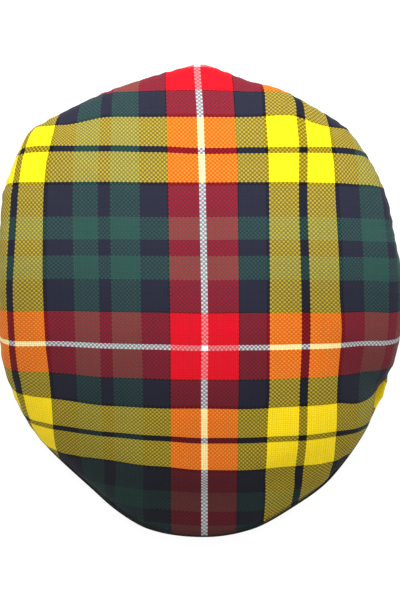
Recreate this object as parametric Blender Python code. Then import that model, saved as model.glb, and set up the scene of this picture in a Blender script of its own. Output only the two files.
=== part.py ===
"""A one-piece-top flat cap in tartan cloth: a crown panel drawn over a stiff peak, and two side panels.

It rests on its rim, with +Z up, the peak towards -Y and the origin at the centre of its base.
"""

import math

import bpy
import numpy as np

# Driving sizes, in metres
CAP_LENGTH = 0.276
CAP_WIDTH = 0.237
CAP_HEIGHT = 0.084
APEX_BACK = 0.035  # how far behind the middle of the cap its highest point is
HEAD_LENGTH = 0.200  # inside of the head opening, front to back
HEAD_WIDTH = 0.168
HEAD_BACK = 0.013  # how far behind the middle of the cap the opening's centre is
CLOTH = 0.0018  # the crown's wall
HEM = 0.0036  # the rim's wall, where the cloth is turned up inside
HEM_STEP = 8.0  # degrees in which the hem comes down behind the peak's wing
PEAK_THICKNESS = 0.0036
PEAK_LIP = 0.0009  # how far the peak's edge shows past the crown
PEAK_NECK_LIFT = 0.0290  # the peak's underside at the front of the head opening, above the table
PEAK_NECK_CORNER = 0.0100  # the same, in line with the peak's corners
TAIL_SPREAD = 8.0  # degrees in which the peak's edge drops from the crown's seam to the table
SEAM_GAP = 0.0003
SHOWN_SIDE = 0.0035  # how far the right side panel shows past the crown, near the peak's corner
SHOWN_BULGE = 0.0150  # how far the handles of that panel's curve stand out there

# Bearings about the highest point, in degrees: 0 is the wearer's side at +X, 90 is the back
FRONT = -90.0
CORNER = -50.0  # where the peak's outer edge leaves the side panel
WING_TIP = -34.0  # where the peak's wing ends at the rim
SHOWN_BEARING = -40.0
SHOWN_SPREAD = 5.0

# Side panels leave the seam in the crown's own direction and come down onto the rim, by these
# shares of the way from seam to rim
LEAVE_SEAM = 0.40
MEET_RIM = (0.06, 0.30)

# Columns in each stretch of bearings, and rows across each surface
COLUMNS_BACK = 14
COLUMNS_SIDE = 6
COLUMNS_WING = 9
COLUMNS_FRONT = 10
CROWN_ROWS = 19
SIDE_ROWS = 8
PEAK_ROWS = 6
FINE = 400  # points along a section before its rows are chosen
OUTLINE_FINE = 40  # points in each span of the outline
TURN_WEIGHT = 0.8  # how much the rows crowd where a section turns
INSET_POWER = 8  # how close to the fold the crown's inset stays
SHARP_ANGLE = 50.0

# Colours and roughness of the plain CAD materials
CROWN_COLOUR = (0.42, 0.06, 0.05)
SIDE_COLOUR = (0.05, 0.09, 0.10)
PEAK_COLOUR = (0.30, 0.20, 0.03)
WOOL_ROUGHNESS = 0.9

# The cap's outline from above, clockwise from the back: shares of half its width and half its length
OUTLINE = (
    # across, along
    (-0.005, 1.000),  # back seam
    (0.240, 0.925),
    (0.400, 0.885),
    (0.690, 0.745),  # right back corner
    (0.850, 0.575),
    (0.935, 0.350),
    (1.000, 0.020),  # widest, right
    (0.965, -0.210),
    (0.890, -0.385),
    (0.785, -0.595),  # peak's right corner
    (0.620, -0.765),
    (0.450, -0.885),
    (0.280, -0.948),
    (0.140, -0.988),
    (0.010, -1.000),  # peak's front
    (-0.165, -0.988),
    (-0.300, -0.948),
    (-0.420, -0.890),
    (-0.750, -0.620),  # peak's left corner
    (-0.915, -0.420),
    (-0.985, -0.210),
    (-1.000, 0.020),  # widest, left
    (-0.975, 0.430),
    (-0.900, 0.620),
    (-0.800, 0.745),  # left back corner
    (-0.510, 0.868),
    (-0.300, 0.930),
)

# Sections of the crown along four bearings, from its highest point out over the fold and under to
# its seam: share of the outline's reach, and share of the way from the peak's top face at its
# corners up to the cap's top
BACK_SECTION = (
    # reach, height
    (0.000, 1.000),
    (0.180, 0.998),
    (0.360, 0.975),
    (0.540, 0.914),
    (0.700, 0.828),
    (0.830, 0.734),
    (0.930, 0.646),
    (0.983, 0.587),
    (1.000, 0.540),
    (0.992, 0.497),
)
SIDE_SECTION = (
    # reach, height
    (0.000, 1.000),
    (0.200, 0.994),
    (0.400, 0.971),
    (0.600, 0.924),
    (0.770, 0.859),
    (0.890, 0.790),
    (0.955, 0.729),
    (0.990, 0.654),
    (1.000, 0.560),
    (0.985, 0.423),
)
CORNER_SECTION = (
    # reach, height
    (0.000, 1.000),
    (0.200, 0.977),
    (0.400, 0.906),
    (0.580, 0.790),
    (0.730, 0.646),
    (0.850, 0.481),
    (0.930, 0.337),
    (0.985, 0.193),
    (1.000, 0.098),
    (0.992, 0.040),
)
FRONT_SECTION = (
    # reach, height
    (0.000, 1.000),
    (0.200, 0.958),
    (0.400, 0.866),
    (0.570, 0.732),
    (0.690, 0.595),
    (0.785, 0.476),
    (0.850, 0.341),
    (0.920, 0.241),
    (0.965, 0.175),
    (1.000, 0.119),
)


def wrapped(degrees):
    """Return an angle in the turn from -90 up to 270 degrees."""
    return (np.asarray(degrees, float) + 90.0) % 360.0 - 90.0


def through(at, knots, values, period=None):
    """Return a smooth curve through values at knots that keeps between neighbouring values."""
    knots, values = np.asarray(knots, float), np.asarray(values, float)
    if period:
        knots = np.concatenate([knots[-2:] - period, knots, knots[:2] + period])
        values = np.concatenate([values[-2:], values, values[:2]])
    step = np.diff(knots)
    rise = np.diff(values, axis=0) / step.reshape((-1,) + (1,) * (values.ndim - 1))
    slope = np.empty_like(values)
    slope[0], slope[-1] = rise[0], rise[-1]
    before, after = rise[:-1], rise[1:]
    same_way = before * after > 0
    total = np.where(same_way, before + after, 1.0)
    slope[1:-1] = np.where(same_way, 2.0 * before * after / total, 0.0)
    i = np.clip(np.searchsorted(knots, at, side="right") - 1, 0, len(step) - 1)
    width = step[i].reshape((-1,) + (1,) * (values.ndim - 1))
    u = (np.asarray(at, float) - knots[i]).reshape(width.shape) / width
    return (
        values[i] * (1 + 2 * u) * (1 - u) ** 2
        + slope[i] * width * u * (1 - u) ** 2
        + values[i + 1] * u**2 * (3 - 2 * u)
        + slope[i + 1] * width * u**2 * (u - 1)
    )


def closed_curve(points, per_span):
    """Return a closed Catmull-Rom curve through the points."""
    p = np.asarray(points, float)
    u = (np.arange(per_span) / per_span)[:, None]
    spans = []
    for i in range(len(p)):
        a, b, c, d = (p[(i + k) % len(p)] for k in (-1, 0, 1, 2))
        spans.append(
            b
            + 0.5 * u * (c - a)
            + u**2 * (a - 2.5 * b + 2.0 * c - 0.5 * d)
            + u**3 * (1.5 * (b - c) + 0.5 * (d - a))
        )
    return np.concatenate(spans)


def outline_reach():
    """Return the outline's bearings about the highest point and its reach at each, in metres."""
    curve = closed_curve(OUTLINE, OUTLINE_FINE)
    low, high = curve.min(axis=0), curve.max(axis=0)
    box = np.array([CAP_WIDTH, CAP_LENGTH])
    curve = ((curve - low) / (high - low) - 0.5) * box
    curve[:, 1] -= APEX_BACK
    bearing = wrapped(np.degrees(np.arctan2(curve[:, 1], curve[:, 0])))
    order = np.argsort(bearing)
    return bearing[order], np.hypot(curve[order, 0], curve[order, 1])


OUTLINE_BEARINGS, OUTLINE_REACHES = outline_reach()


def reach(bearing):
    """Return how far the cap's outline is from the highest point, seen from above."""
    return np.interp(wrapped(bearing), OUTLINE_BEARINGS, OUTLINE_REACHES, period=360.0)


def head_reach(bearing):
    """Return how far the inside of the head opening is from the highest point, seen from above."""
    a, b = HEAD_WIDTH / 2, HEAD_LENGTH / 2
    drop = APEX_BACK - HEAD_BACK
    c, s = math.cos(math.radians(bearing)), math.sin(math.radians(bearing))
    square = (c / a) ** 2 + (s / b) ** 2
    half = drop * s / b**2
    return (-half + math.sqrt(half**2 - square * ((drop / b) ** 2 - 1))) / square


def from_front(bearing):
    """Return how many degrees a bearing is from the front, either way."""
    return abs(180.0 - (float(bearing) - FRONT + 180.0) % 360.0)


def eased(value, start, end):
    """Return a smooth step from 0 at start to 1 at end."""
    u = min(1.0, max(0.0, (value - start) / (end - start)))
    return u * u * (3 - 2 * u)


def shown(bearing):
    """Return how strongly the right side panel shows at a bearing, from 0 to 1."""
    off = float(wrapped(bearing)) - SHOWN_BEARING
    return math.exp(-((off / SHOWN_SPREAD) ** 2))


def crown_inset(bearing):
    """Return how far the crown's fold lies inside the cap's outline."""
    corner_away = CORNER - FRONT
    lip = PEAK_LIP * (1 - eased(from_front(bearing), corner_away - TAIL_SPREAD, corner_away))
    return lip + SHOWN_SIDE * shown(bearing)


def section_at(bearing):
    """Return the crown's section rows at a bearing, blended between the four tables."""
    mirrored = CORNER - 2 * (CORNER - FRONT)
    knots = (mirrored, FRONT, CORNER, 0.0, 90.0, 180.0)
    tables = (CORNER_SECTION, FRONT_SECTION, CORNER_SECTION, SIDE_SECTION, BACK_SECTION, SIDE_SECTION)
    at = float(wrapped(bearing))
    if at > 180.0:
        at -= 360.0
    return through([at], knots, np.array(tables), period=360.0)[0]


def crown_line(bearing, rows):
    """Return points (out, up) of the crown's outer face along a bearing, from its top to its seam."""
    section = section_at(bearing)
    station = np.arange(len(section), dtype=float)
    fine = through(np.linspace(0, station[-1], FINE), station, section)
    out = fine[:, 0] * reach(bearing) - fine[:, 0] ** INSET_POWER * crown_inset(bearing)
    seat = PEAK_THICKNESS + SEAM_GAP
    line = np.column_stack([out, seat + fine[:, 1] * (CAP_HEIGHT - seat)])
    along = np.concatenate([[0.0], np.cumsum(np.linalg.norm(np.diff(line, axis=0), axis=1))])
    turn = np.concatenate([[0.0], np.cumsum(np.abs(np.diff(tangent_angles(line))))])
    spread = along / along[-1] + TURN_WEIGHT * turn / turn[-1]
    at = np.interp(np.linspace(0, spread[-1], rows), spread, np.arange(FINE))
    return np.column_stack([np.interp(at, np.arange(FINE), line[:, k]) for k in (0, 1)])


def tangent_angles(line):
    """Return the direction of a line of points at each of them, in radians."""
    step = np.gradient(line, axis=0)
    return np.unwrap(np.arctan2(step[:, 1], step[:, 0]))


def inward(line, depth):
    """Return a line of points (out, up) moved towards the inside of the cap."""
    angle = tangent_angles(line)
    angle[0] = 0.0 if line[0, 0] == 0.0 else angle[0]
    normal = np.column_stack([np.sin(angle), -np.cos(angle)])
    return line + normal * np.reshape(depth, (-1, 1))


def peak_section(bearing):
    """Return the peak's upper face along a bearing, as points (out, up) at its edge and its neck."""
    away = from_front(bearing)
    corner_away = CORNER - FRONT
    wing_away = WING_TIP - FRONT
    lifts = (PEAK_NECK_LIFT, PEAK_NECK_CORNER, 0.0)
    neck_up = float(through([away], (0.0, corner_away, wing_away), lifts)[0]) + PEAK_THICKNESS
    neck = np.array([head_reach(bearing), neck_up])
    if away > corner_away:
        rim = head_reach(bearing) + HEM
        edge_out = rim + (reach(bearing) - rim) * (1 - eased(away, corner_away, wing_away))
        return np.array([edge_out, PEAK_THICKNESS]), neck
    crown = crown_line(bearing, CROWN_ROWS)
    tucked = inward(crown, CLOTH)[-1]
    landing = np.array([tucked[0], min(tucked[1], crown[-1, 1]) - SEAM_GAP])
    edge_out = reach(bearing)
    slope = (landing[1] - neck[1]) / (landing[0] - neck[0])
    edge_up = landing[1] + slope * (edge_out - landing[0])
    edge_up += (PEAK_THICKNESS - edge_up) * eased(away, corner_away - TAIL_SPREAD, corner_away)
    return np.array([edge_out, edge_up]), neck


def hem_edge(bearing):
    """Return the outer and inner points (out, up) of a side panel's lower edge."""
    rim = head_reach(bearing)
    if from_front(bearing) >= WING_TIP - FRONT:
        end = 1 - eased(from_front(bearing), WING_TIP - FRONT, WING_TIP - FRONT + HEM_STEP)
        up = end * (PEAK_THICKNESS + SEAM_GAP)
        return np.array([rim + HEM, up]), np.array([rim, up])
    edge, neck = peak_section(bearing)
    lift = np.array([0.0, SEAM_GAP])
    return edge + lift, edge + (neck - edge) * HEM / (edge[0] - neck[0]) + lift


def seam_start(bearing):
    """Return a side panel's outer and inner points at the crown's seam, and the way down from there."""
    crown = crown_line(bearing, CROWN_ROWS)
    down = crown[-1] - crown[-2]
    down /= np.linalg.norm(down)
    return crown[-1] + down * SEAM_GAP, inward(crown, CLOTH)[-1] + down * SEAM_GAP, down


def side_line(bearing, rows):
    """Return points (out, up) of a side panel's outer face along a bearing, from seam to rim."""
    start, _, down = seam_start(bearing)
    end = hem_edge(bearing)[0]
    span = np.linalg.norm(end - start)
    bulge = np.array([SHOWN_BULGE * shown(bearing), 0.0])
    first = start + down * span * LEAVE_SEAM + bulge
    second = end + np.array(MEET_RIM) * span + bulge
    u = np.linspace(0, 1, rows)[:, None]
    return (
        start * (1 - u) ** 3
        + 3 * first * u * (1 - u) ** 2
        + 3 * second * u**2 * (1 - u)
        + end * u**3
    )


def stretch(start, end, columns):
    """Return bearings from start up to but not including end."""
    return [start + (end - start) * i / columns for i in range(columns)]


def right_bearings():
    """Return the bearings of the cap's right half, in four stretches from the back to the front."""
    back = stretch(90.0, 0.0, COLUMNS_BACK)
    side = stretch(0.0, WING_TIP, COLUMNS_SIDE)
    wing = stretch(WING_TIP, CORNER, COLUMNS_WING)
    front = stretch(CORNER, FRONT, COLUMNS_FRONT) + [FRONT]
    return back, side, wing, front


def mirrored(bearing):
    """Return the bearing on the other side of the cap."""
    return 180.0 - bearing


def placed(bearing, line, aside=0.0):
    """Return points in the cap's frame for points (out, up) along a bearing, moved aside from it."""
    c, s = math.cos(math.radians(bearing)), math.sin(math.radians(bearing))
    return [(out * c - aside * s, APEX_BACK + out * s + aside * c, up) for out, up in line]


def add_object(name, vertices, faces, colour):
    """Make a mesh object with its own material."""
    mesh = bpy.data.meshes.new(name)
    mesh.from_pydata([tuple(map(float, v)) for v in vertices], [], faces)
    mesh.validate()
    mesh.shade_smooth()
    mesh.set_sharp_from_angle(angle=math.radians(SHARP_ANGLE))
    material = bpy.data.materials.new(name)
    material.use_nodes = True
    shader = material.node_tree.nodes["Principled BSDF"]
    shader.inputs["Base Color"].default_value = (*colour, 1.0)
    shader.inputs["Roughness"].default_value = WOOL_ROUGHNESS
    shader.inputs["Metallic"].default_value = 0.0
    mesh.materials.append(material)
    thing = bpy.data.objects.new(name, mesh)
    bpy.context.scene.collection.objects.link(thing)
    return thing


def strip_solid(name, loops, colour):
    """Make a closed solid from cross-sections, each a ring of the same number of points."""
    ring = len(loops[0])
    vertices = [point for loop in loops for point in loop]
    last = len(vertices) - ring
    faces = [tuple(range(ring))[::-1], tuple(range(last, last + ring))]
    for start in range(0, last, ring):
        for k in range(ring):
            a, b = start + k, start + (k + 1) % ring
            faces.append((a, b, b + ring, a + ring))
    return add_object(name, vertices, faces, colour)


def build_crown(bearings):
    """Make the crown panel: one shell from the highest point over the fold to the seam."""
    outer_top = (0.0, APEX_BACK, CAP_HEIGHT)
    inner_top = (0.0, APEX_BACK, CAP_HEIGHT - CLOTH)
    vertices = [outer_top, inner_top]
    ring = 2 * (CROWN_ROWS - 1)
    for bearing in bearings:
        line = crown_line(bearing, CROWN_ROWS)
        inner = inward(line, CLOTH)
        vertices += placed(bearing, line[1:])
        vertices += placed(bearing, inner[1:][::-1])
    faces = []
    count = len(bearings)
    for i in range(count):
        a, b = 2 + i * ring, 2 + (i + 1) % count * ring
        faces.append((0, b, a))
        faces += [(a + k, b + k, b + k + 1, a + k + 1) for k in range(ring - 1)]
        faces.append((1, a + ring - 1, b + ring - 1))
    return add_object("crown_panel", vertices, faces, CROWN_COLOUR)


def build_side(name, bearings, turned):
    """Make a side panel from the back seam to the peak's corner."""
    loops = []
    turned_up = np.linspace(0, 1, SIDE_ROWS)[:, None] ** 2
    for i, bearing in enumerate(bearings):
        line = side_line(bearing, SIDE_ROWS)
        inner = line + (1 - turned_up) * (seam_start(bearing)[1] - line[0])
        inner += turned_up * (hem_edge(bearing)[1] - line[-1])
        aside = -turned * SEAM_GAP / 2 if i == 0 else 0.0
        loop = placed(bearing, line, aside) + placed(bearing, inner[::-1], aside)
        loops.append(loop[::-1] if turned > 0 else loop)
    return strip_solid(name, loops, SIDE_COLOUR)


def build_peak(bearings):
    """Make the peak: a stiff crescent from one wing tip round the front to the other."""
    loops = []
    share = np.linspace(0, 1, PEAK_ROWS)[:, None]
    for bearing in bearings:
        edge, neck = peak_section(bearing)
        upper = edge + (neck - edge) * share
        under = upper - [0.0, PEAK_THICKNESS]
        loops.append(placed(bearing, upper) + placed(bearing, under[::-1]))
    return strip_solid("peak", loops, PEAK_COLOUR)


def main():
    """Clear the scene and build the cap."""
    for thing in list(bpy.data.objects):
        bpy.data.objects.remove(thing)
    back, side, wing, front = right_bearings()
    right = back + side + wing + front
    left = [mirrored(bearing) for bearing in right]
    build_crown(right + left[-2:0:-1])
    panel = back + side + wing + [CORNER]
    build_side("side_panel_right", panel, 1)
    build_side("side_panel_left", [mirrored(bearing) for bearing in panel], -1)
    half = wing + front
    build_peak(half + [mirrored(bearing) for bearing in half[-2::-1]])


main()
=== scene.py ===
"""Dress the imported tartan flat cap: woven panels, a cloth-covered peak, a pale floor and soft light.

Everything is in metres in the frame's axes: +Z up, the peak towards -Y, +X to the picture's right.
"""

import logging
import math
from dataclasses import dataclass, field
from enum import Enum
from typing import Optional, Sequence, Union

import bmesh
import bpy
import numpy as np
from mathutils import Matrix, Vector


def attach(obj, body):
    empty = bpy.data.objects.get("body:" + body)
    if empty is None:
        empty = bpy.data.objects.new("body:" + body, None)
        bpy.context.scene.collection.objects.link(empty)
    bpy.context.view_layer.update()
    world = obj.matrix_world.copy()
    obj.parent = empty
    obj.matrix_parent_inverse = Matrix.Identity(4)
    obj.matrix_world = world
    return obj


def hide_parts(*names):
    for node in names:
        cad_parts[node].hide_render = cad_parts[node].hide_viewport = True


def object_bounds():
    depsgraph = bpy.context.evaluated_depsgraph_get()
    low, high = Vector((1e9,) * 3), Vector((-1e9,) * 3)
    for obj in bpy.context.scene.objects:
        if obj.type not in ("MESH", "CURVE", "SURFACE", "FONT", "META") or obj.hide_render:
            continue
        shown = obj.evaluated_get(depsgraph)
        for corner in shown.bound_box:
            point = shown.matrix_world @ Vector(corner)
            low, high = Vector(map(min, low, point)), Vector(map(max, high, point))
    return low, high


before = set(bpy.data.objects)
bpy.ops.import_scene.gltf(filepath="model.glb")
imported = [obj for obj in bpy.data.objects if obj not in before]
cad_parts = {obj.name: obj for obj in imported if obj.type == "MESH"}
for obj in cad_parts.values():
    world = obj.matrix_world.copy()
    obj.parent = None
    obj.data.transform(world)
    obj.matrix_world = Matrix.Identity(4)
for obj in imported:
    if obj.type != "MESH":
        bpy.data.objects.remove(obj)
CAD_BOX = [[float(value) for value in corner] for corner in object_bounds()]

log = logging.getLogger("tartan_cap")

CLOTH_UV = "cloth"
# The point attribute that holds painted shade along the crown's turned edge
PAINTED_SHADE_ATTRIBUTE = "painted_fold_shade"
BODY = "root"
WORN = "_cloth"  # ends the name of each piece that stands for a CAD node
MM = 0.001
TOUCHING = 1e-6  # points nearer than this are one point

Row = tuple[float, ...]


def wrapped(bearing: np.ndarray) -> np.ndarray:
    """Return bearings in the turn from -90 up to 270 degrees."""
    return (np.asarray(bearing, float) + 90.0) % 360.0 - 90.0


def eased(value: np.ndarray, start: float, end: float) -> np.ndarray:
    """Return a smooth step from 0 at start to 1 at end."""
    u = np.clip((np.asarray(value, float) - start) / (end - start), 0.0, 1.0)
    return u * u * (3 - 2 * u)


def hump(value: np.ndarray, centre: float, spread: float) -> np.ndarray:
    """Return a bell of height 1 around a centre."""
    return np.exp(-(((np.asarray(value, float) - centre) / spread) ** 2))


def smooth_through(
    at: np.ndarray, knots: Sequence[float], values: np.ndarray, period: float = 0.0
) -> np.ndarray:
    """Read a table as one smooth curve that stays between neighbouring rows.

    Args:
        at: Where the curve is wanted.
        knots: Where the rows stand, rising.
        values: One row for each knot.
        period: The turn after which the rows repeat, or 0 for an open table.

    Returns:
        The curve's rows, one for each place asked for.
    """
    at = np.asarray(at, float)
    knots, values = np.asarray(knots, float), np.asarray(values, float)
    if period:
        knots = np.concatenate([knots[-2:] - period, knots, knots[:2] + period])
        values = np.concatenate([values[-2:], values, values[:2]])
    extra = (1,) * (values.ndim - 1)
    step = np.diff(knots)
    rise = np.diff(values, axis=0) / step.reshape((-1,) + extra)
    slope = np.empty_like(values)
    slope[0], slope[-1] = rise[0], rise[-1]
    before, after = rise[:-1], rise[1:]
    same_way = before * after > 0
    total = np.where(same_way, before + after, 1.0)
    slope[1:-1] = np.where(same_way, 2.0 * before * after / total, 0.0)
    i = np.clip(np.searchsorted(knots, at, side="right") - 1, 0, len(step) - 1)
    width = step[i].reshape((-1,) + extra)
    u = (at - knots[i]).reshape(width.shape) / width
    return (
        values[i] * (1 + 2 * u) * (1 - u) ** 2
        + slope[i] * width * u * (1 - u) ** 2
        + values[i + 1] * u**2 * (3 - 2 * u)
        + slope[i + 1] * width * u**2 * (u - 1)
    )


def closed_curve(points: Sequence[Row], per_span: int) -> np.ndarray:
    """Draw a closed Catmull-Rom curve through points.

    Args:
        points: The points, in order round the curve.
        per_span: Samples from each point to the next.

    Returns:
        The samples, starting at the first point.
    """
    p = np.asarray(points, float)
    u = (np.arange(per_span) / per_span)[:, None]
    spans = []
    for i in range(len(p)):
        a, b, c, d = (p[(i + k) % len(p)] for k in (-1, 0, 1, 2))
        bend = u**2 * (a - 2.5 * b + 2.0 * c - 0.5 * d)
        spans.append(b + 0.5 * u * (c - a) + bend + u**3 * (1.5 * (b - c) + 0.5 * (d - a)))
    return np.concatenate(spans)


def run_length(points: np.ndarray, axis: int = 0) -> np.ndarray:
    """Measure the length run along one axis of an array of points.

    Args:
        points: The points, whose coordinates are on the last axis.
        axis: The axis to run along.

    Returns:
        The length from the first point to each, in metres.
    """
    step = np.linalg.norm(np.diff(points, axis=axis), axis=-1)
    start = np.zeros_like(np.take(step, [0], axis=axis))
    return np.concatenate([start, np.cumsum(step, axis=axis)], axis=axis)


@dataclass(frozen=True)
class CapForm:
    """The cap's shape as a set of lines from its highest point out over the fold and in to the rim.

    A bearing is an angle in degrees about the highest point: 0 is the side at +X, 90 the back and -90
    the front. Fields named for a bearing, spread, drop or hold are in degrees, and sizes in metres.
    """

    length: float
    width: float
    height: float
    apex_back: float = 0.035
    head_length: float = 0.200
    head_width: float = 0.168
    head_back: float = 0.013
    cloth: float = 0.0018
    hem: float = 0.0036
    hem_drop: float = 2.0  # in which the hem comes down from the peak's wing to the table
    peak_thickness: float = 0.0036
    peak_lip: float = 0.0005
    neck_lift: float = 0.0290
    neck_corner_lift: float = 0.0100
    tail_spread: float = 8.0
    seam_gap: float = 0.0003
    shown_side: float = 0.0037
    shown_bearing: float = -40.7
    shown_spread: float = 3.4
    bulge: float = 0.0119
    bulge_bearing: float = -37.0
    bulge_spread: float = 3.6
    front: float = -90.0
    corner: float = -50.0
    wing_tip: float = -34.0
    wing_hold: float = 9.0  # how far past its corner the peak keeps its full reach
    leave_seam: float = 0.40  # how long a side panel keeps the crown's direction
    meet_rim: Row = (0.06, 0.30)  # and the direction in which it comes down on the rim
    turn_weight: float = 0.8  # how much closer the points stand where the face turns
    edge_weight: float = 0.16  # the same near the seam
    edge_reach: float = 0.0060
    inset_power: int = 8  # how close to the fold the inset stays
    fine: int = 400
    seam_rows: int = 120
    outline_samples: int = 40

    # The outline from above, clockwise from the back: shares of half the width and half the length
    outline: tuple[Row, ...] = (
        # across, along
        (-0.005, 1.000),  # back seam
        (0.105, 0.972),
        (0.230, 0.930),
        (0.385, 0.895),
        (0.545, 0.822),
        (0.690, 0.745),  # right back corner
        (0.760, 0.680),
        (0.850, 0.560),
        (0.915, 0.425),
        (0.950, 0.270),
        (1.000, 0.020),  # widest, right
        (0.964, -0.210),
        (0.914, -0.330),
        (0.862, -0.452),
        (0.786, -0.585),  # peak's right corner
        (0.678, -0.713),
        (0.585, -0.795),
        (0.437, -0.882),
        (0.304, -0.948),
        (0.205, -0.978),
        (0.105, -0.995),
        (0.010, -1.000),  # peak's front
        (-0.105, -0.995),
        (-0.215, -0.978),
        (-0.310, -0.948),
        (-0.428, -0.882),
        (-0.540, -0.797),
        (-0.752, -0.628),  # peak's left corner
        (-0.864, -0.502),
        (-0.935, -0.375),
        (-0.985, -0.230),
        (-1.000, 0.020),  # widest, left
        (-0.983, 0.400),
        (-0.950, 0.520),
        (-0.868, 0.685),
        (-0.800, 0.742),  # left back corner
        (-0.510, 0.868),
        (-0.290, 0.936),
        (-0.130, 0.976),
    )

    # Sections of the crown from its highest point over the fold to its seam
    back_section: tuple[Row, ...] = (
        # reach, height
        (0.000, 1.000),
        (0.180, 0.998),
        (0.360, 0.975),
        (0.540, 0.914),
        (0.700, 0.828),
        (0.830, 0.734),
        (0.930, 0.646),
        (0.983, 0.587),
        (1.000, 0.540),
        (0.992, 0.497),
    )
    side_section: tuple[Row, ...] = (
        # reach, height
        (0.000, 1.000),
        (0.200, 0.994),
        (0.400, 0.971),
        (0.600, 0.924),
        (0.770, 0.859),
        (0.890, 0.790),
        (0.955, 0.729),
        (0.990, 0.654),
        (1.000, 0.560),
        (0.985, 0.423),
    )
    corner_section: tuple[Row, ...] = (
        # reach, height
        (0.000, 1.000),
        (0.200, 0.977),
        (0.400, 0.906),
        (0.580, 0.790),
        (0.730, 0.646),
        (0.850, 0.481),
        (0.930, 0.337),
        (0.985, 0.193),
        (1.000, 0.098),
        (0.992, 0.040),
    )
    front_section: tuple[Row, ...] = (
        # reach, height
        (0.000, 1.000),
        (0.200, 0.958),
        (0.400, 0.866),
        (0.570, 0.732),
        (0.690, 0.595),
        (0.785, 0.476),
        (0.850, 0.341),
        (0.920, 0.241),
        (0.965, 0.175),
        (1.000, 0.119),
    )

    @property
    def seat(self) -> float:
        """Return the height of the peak's upper face at its corners."""
        return self.peak_thickness + self.seam_gap

    def outline_reach(self) -> tuple[np.ndarray, np.ndarray]:
        """Measure the outline about the highest point.

        Returns:
            The bearings of its samples, rising, and its reach at each.
        """
        curve = closed_curve(self.outline, self.outline_samples)
        low, high = curve.min(axis=0), curve.max(axis=0)
        curve = ((curve - low) / (high - low) - 0.5) * [self.width, self.length]
        curve[:, 1] -= self.apex_back
        bearing = wrapped(np.degrees(np.arctan2(curve[:, 1], curve[:, 0])))
        order = np.argsort(bearing)
        return bearing[order], np.hypot(curve[order, 0], curve[order, 1])

    def reach(self, bearing: np.ndarray) -> np.ndarray:
        """Return how far the outline is from the highest point, seen from above."""
        bearings, reaches = self.outline_reach()
        return np.interp(wrapped(bearing), bearings, reaches, period=360.0)

    def head_reach(self, bearing: np.ndarray) -> np.ndarray:
        """Measure the head opening, an oval, about the highest point.

        Args:
            bearing: Angles about the highest point, in degrees.

        Returns:
            How far its edge is at each bearing.
        """
        a, b = self.head_width / 2, self.head_length / 2
        drop = self.apex_back - self.head_back
        angle = np.radians(bearing)
        c, s = np.cos(angle), np.sin(angle)
        square = (c / a) ** 2 + (s / b) ** 2
        half = drop * s / b**2
        return (-half + np.sqrt(half**2 - square * ((drop / b) ** 2 - 1))) / square

    def away(self, bearing: np.ndarray) -> np.ndarray:
        """Return how many degrees bearings are from the front, either way."""
        return np.abs(180.0 - (np.asarray(bearing, float) - self.front + 180.0) % 360.0)

    def shown(self, bearing: np.ndarray) -> np.ndarray:
        """Return how far the right side panel shows past the crown at a bearing, from 0 to 1."""
        return hump(wrapped(bearing), self.shown_bearing, self.shown_spread)

    def bulged(self, bearing: np.ndarray) -> np.ndarray:
        """Return how strongly the right side panel bulges at a bearing, from 0 to 1."""
        return hump(wrapped(bearing), self.bulge_bearing, self.bulge_spread)

    def sections(self, bearing: np.ndarray) -> np.ndarray:
        """Blend the crown's section between the four tables.

        Args:
            bearing: Angles about the highest point, in degrees.

        Returns:
            Rows of (reach, height) shares for each bearing.
        """
        left_corner = 2 * self.front - self.corner
        knots = (left_corner, self.front, self.corner, 0.0, 90.0, 180.0)
        corner, side = self.corner_section, self.side_section
        tables = np.array((corner, self.front_section, corner, side, self.back_section, side))
        at = wrapped(bearing)
        at = np.where(at > 180.0, at - 360.0, at)
        return smooth_through(at, knots, tables, period=360.0)

    def crown_fine(self, bearing: np.ndarray) -> np.ndarray:
        """Draw the crown's outer face as lines read finely from its sections.

        Args:
            bearing: Angles about the highest point, in degrees.

        Returns:
            A line of points (out, up) for each bearing, from the highest point to the seam.
        """
        rows = self.sections(bearing)
        count = rows.shape[1]
        place = np.linspace(0, count - 1, self.fine)
        fine = smooth_through(place, np.arange(count), rows.transpose(1, 0, 2))
        out, up = fine[..., 0], fine[..., 1]
        lip = self.peak_lip * (1 - eased(self.away(bearing), *self.tail_range))
        inset = lip + self.shown_side * self.shown(bearing)
        out = out * self.reach(bearing) - out**self.inset_power * inset
        up = self.seat + up * (self.height - self.seat)
        return np.stack([out, up], axis=-1).transpose(1, 0, 2)

    @property
    def tail_range(self) -> tuple[float, float]:
        """Return the degrees from the front between which the crown's edge leaves the peak's."""
        corner = self.corner - self.front
        return corner - self.tail_spread, corner

    def crown_lines(self, bearing: np.ndarray, rows: int) -> np.ndarray:
        """Draw the crown's outer face with its points closer where it turns and at its edge.

        Args:
            bearing: Angles about the highest point, in degrees.
            rows: Points in each line.

        Returns:
            A line of points (out, up) for each bearing, from the highest point to the seam.
        """
        lines = self.crown_fine(bearing)
        chosen = []
        for line in lines:
            along = run_length(line)
            turn = np.concatenate([[0.0], np.cumsum(np.abs(np.diff(line_angles(line))))])
            at_edge = np.clip(1 - (along[-1] - along) / self.edge_reach, 0.0, 1.0)
            spread = along / along[-1] + self.turn_weight * turn / turn[-1] + self.edge_weight * at_edge
            at = np.interp(np.linspace(0, spread[-1], rows), spread, np.arange(self.fine))
            chosen.append([np.interp(at, np.arange(self.fine), line[:, k]) for k in (0, 1)])
        return np.array(chosen).transpose(0, 2, 1)


def line_angles(line: np.ndarray) -> np.ndarray:
    """Return the direction of a line of points at each of them, in radians."""
    step = np.gradient(line, axis=0)
    return np.unwrap(np.arctan2(step[:, 1], step[:, 0]))


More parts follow.
